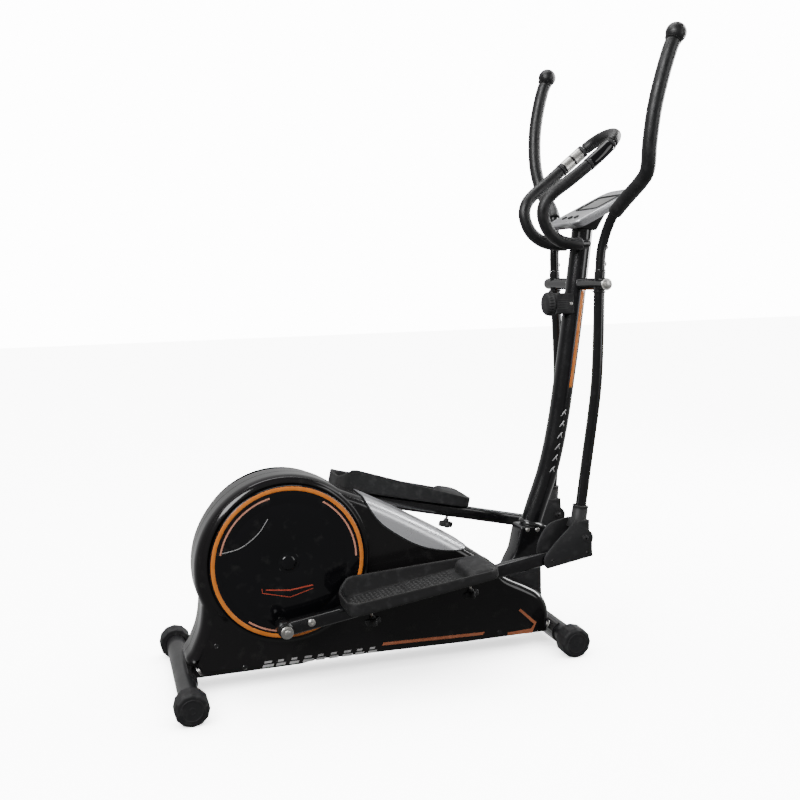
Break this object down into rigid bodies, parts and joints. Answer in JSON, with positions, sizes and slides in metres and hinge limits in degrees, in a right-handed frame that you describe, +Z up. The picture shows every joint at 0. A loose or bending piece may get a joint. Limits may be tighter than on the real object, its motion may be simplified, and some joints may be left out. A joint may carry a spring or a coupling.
{
  "type": "elliptical trainer",
  "caption": "Elliptical cross trainer with a rear crank disc, foot rails with tray pedals, swinging handle arms, a fixed grip loop, a sloped console and a magnetic flywheel brake.",
  "frame": {"origin": "on the floor, under the middle of the overall length and width", "axes": "+X forwards towards the console, +Y to the user's left, +Z up"},
  "size_m": [1.2922, 0.6722, 1.6246],
  "materials": {
    "black_paint": "gloss black powder coat",
    "grey_paint": "satin dark grey powder coat",
    "housing_plastic": "gloss black",
    "disc_plastic": "high gloss black with a printed ring",
    "cover_plastic": "fine grain dark grey",
    "pedal_plastic": "textured dark grey",
    "silver_plastic": "metallic silver paint",
    "foam": "closed-cell foam",
    "bright_steel": "zinc plated or brushed",
    "cast_iron": "turned rim, cast web",
    "belt_rubber": "ribbed belt rubber",
    "screen": "dark display window"
  },
  "bodies": {
    "frame": {"rear_stabiliser": "grey_paint", "front_stabiliser": "grey_paint", "rear_cap_left": "cover_plastic", "rear_cap_right": "cover_plastic", "front_cap_left": "cover_plastic", "front_cap_right": "cover_plastic", "base_frame": "black_paint", "mast_socket": "black_paint", "neck_cover": "housing_plastic", "mast": "black_paint", "fixed_handlebar": "black_paint", "handlebar_foam_left": "foam", "handlebar_foam_right": "foam", "pulse_sensor_left": "bright_steel", "pulse_sensor_right": "bright_steel", "console_bracket": "cover_plastic", "console_shell": "silver_plastic", "console_screen": "screen", "pivot_axle": "bright_steel", "axle_bolt_left": "bright_steel", "axle_bolt_right": "bright_steel", "tension_housing": "cover_plastic", "tension_cable": "belt_rubber", "housing_left": "housing_plastic", "housing_right": "housing_plastic", "top_trim": "silver_plastic", "flywheel_axle": "bright_steel", "drive_belt": "belt_rubber"},
    "crank": {"crank_axle": "bright_steel", "crank_arm_left": "bright_steel", "crank_arm_right": "bright_steel", "crank_disc_left": "disc_plastic", "crank_disc_right": "disc_plastic", "drive_pulley": "cover_plastic"},
    "flywheel": {"flywheel": "cast_iron"},
    "magnet": {"magnet_bracket": "cast_iron"},
    "tension": {"tension_knob": "cover_plastic"},
    "button_left": {"console_button_left": "cover_plastic"},
    "button_middle": {"console_button_middle": "cover_plastic"},
    "button_right": {"console_button_right": "cover_plastic"},
    "rail_right": {"rail_right": "black_paint", "pedal_right": "pedal_plastic"},
    "cover_right": {"joint_cover_right": "cover_plastic", "joint_bolt_right": "bright_steel"},
    "arm_right": {"swing_arm_right": "black_paint", "handle_right": "black_paint", "grip_right": "foam"},
    "pedal_knob_rear_right": {"pedal_knob_rear_right": "pedal_plastic"},
    "pedal_knob_front_right": {"pedal_knob_front_right": "pedal_plastic"},
    "rail_left": {"rail_left": "black_paint", "pedal_left": "pedal_plastic"},
    "cover_left": {"joint_cover_left": "cover_plastic", "joint_bolt_left": "bright_steel"},
    "arm_left": {"swing_arm_left": "black_paint", "handle_left": "black_paint", "grip_left": "foam"},
    "pedal_knob_rear_left": {"pedal_knob_rear_left": "pedal_plastic"},
    "pedal_knob_front_left": {"pedal_knob_front_left": "pedal_plastic"}
  },
  "joints": [
    {"name": "crank_turn", "type": "hinge", "parent": "frame", "child": "crank", "pos_m": [-0.3395, 0, 0.3217], "axis": [0, 1, 0], "range_deg": [-36, 20]},
    {"name": "flywheel_spin", "type": "hinge", "parent": "frame", "child": "flywheel", "pos_m": [-0.0056, 0, 0.205], "axis": [0, 1, 0], "range_deg": [-213, 119]},
    {"name": "resistance_knob_turn", "type": "hinge", "parent": "frame", "child": "tension", "pos_m": [0.42584, 0, 0.941], "axis": [-1, 0, 0], "range_deg": [0, 270]},
    {"name": "magnet_swing", "type": "hinge", "parent": "frame", "child": "magnet", "pos_m": [0.10381, 0, 0.2492], "axis": [0, 1, 0], "range_deg": [0, 12]},
    {"name": "rail_right_turn", "type": "hinge", "parent": "crank", "child": "rail_right", "pos_m": [-0.36421, -0.132, 0.17], "axis": [0, 1, 0], "range_deg": [-20, 36]},
    {"name": "joint_right_turn", "type": "hinge", "parent": "rail_right", "child": "cover_right", "pos_m": [0.44932, -0.132, 0.32087], "axis": [0, 1, 0], "range_deg": [-7.9, 4.4]},
    {"name": "arm_right_swing", "type": "hinge", "parent": "frame", "child": "arm_right", "pos_m": [0.5014, -0.132, 0.993], "axis": [0, 1, 0], "range_deg": [-7.9, 4.4]},
    {"name": "pedal_knob_rear_right_turn", "type": "hinge", "parent": "rail_right", "child": "pedal_knob_rear_right", "pos_m": [-0.14035, -0.132, 0.18041], "axis": [-0.1823, 0, 0.9832], "range_deg": [0, 360]},
    {"name": "pedal_knob_front_right_turn", "type": "hinge", "parent": "rail_right", "child": "pedal_knob_front_right", "pos_m": [0.12685, -0.132, 0.22034], "axis": [-0.1823, 0, 0.9832], "range_deg": [0, 360]},
    {"name": "rail_left_turn", "type": "hinge", "parent": "crank", "child": "rail_left", "pos_m": [-0.31479, 0.132, 0.4734], "axis": [0, 1, 0], "range_deg": [-20, 36]},
    {"name": "joint_left_turn", "type": "hinge", "parent": "rail_left", "child": "cover_left", "pos_m": [0.49805, 0.132, 0.31886], "axis": [0, 1, 0], "range_deg": [-4.4, 7.9]},
    {"name": "arm_left_swing", "type": "hinge", "parent": "frame", "child": "arm_left", "pos_m": [0.5014, 0.132, 0.993], "axis": [0, 1, 0], "range_deg": [-4.4, 7.9]},
    {"name": "pedal_knob_rear_left_turn", "type": "hinge", "parent": "rail_left", "child": "pedal_knob_rear_left", "pos_m": [-0.10241, 0.132, 0.40189], "axis": [0.1868, 0, 0.9824], "range_deg": [0, 360]},
    {"name": "pedal_knob_front_left_turn", "type": "hinge", "parent": "rail_left", "child": "pedal_knob_front_left", "pos_m": [0.16107, 0.132, 0.34217], "axis": [0.1868, 0, 0.9824], "range_deg": [0, 360]},
    {"name": "button_left_press", "type": "slide", "parent": "frame", "child": "button_left", "axis": [0.4321, 0, -0.9018], "range_m": [0, 0.0015], "stiffness_N_per_m": 400, "springref_m": -0.0008},
    {"name": "button_middle_press", "type": "slide", "parent": "frame", "child": "button_middle", "axis": [0.4321, 0, -0.9018], "range_m": [0, 0.0015], "stiffness_N_per_m": 400, "springref_m": -0.0008},
    {"name": "button_right_press", "type": "slide", "parent": "frame", "child": "button_right", "axis": [0.4321, 0, -0.9018], "range_m": [0, 0.0015], "stiffness_N_per_m": 400, "springref_m": -0.0008}
  ],
  "couplings": [
    {"joint": "flywheel_spin", "follows": "crank_turn", "ratio": 5.9091},
    {"joint": "magnet_swing", "follows": "resistance_knob_turn", "ratio": 0.04444},
    {"joint": "rail_right_turn", "follows": "crank_turn", "ratio": -1},
    {"joint": "joint_right_turn", "follows": "crank_turn", "ratio": 0.218},
    {"joint": "arm_right_swing", "follows": "crank_turn", "ratio": 0.218},
    {"joint": "rail_left_turn", "follows": "crank_turn", "ratio": -1},
    {"joint": "joint_left_turn", "follows": "crank_turn", "ratio": -0.218},
    {"joint": "arm_left_swing", "follows": "crank_turn", "ratio": -0.218}
  ]
}
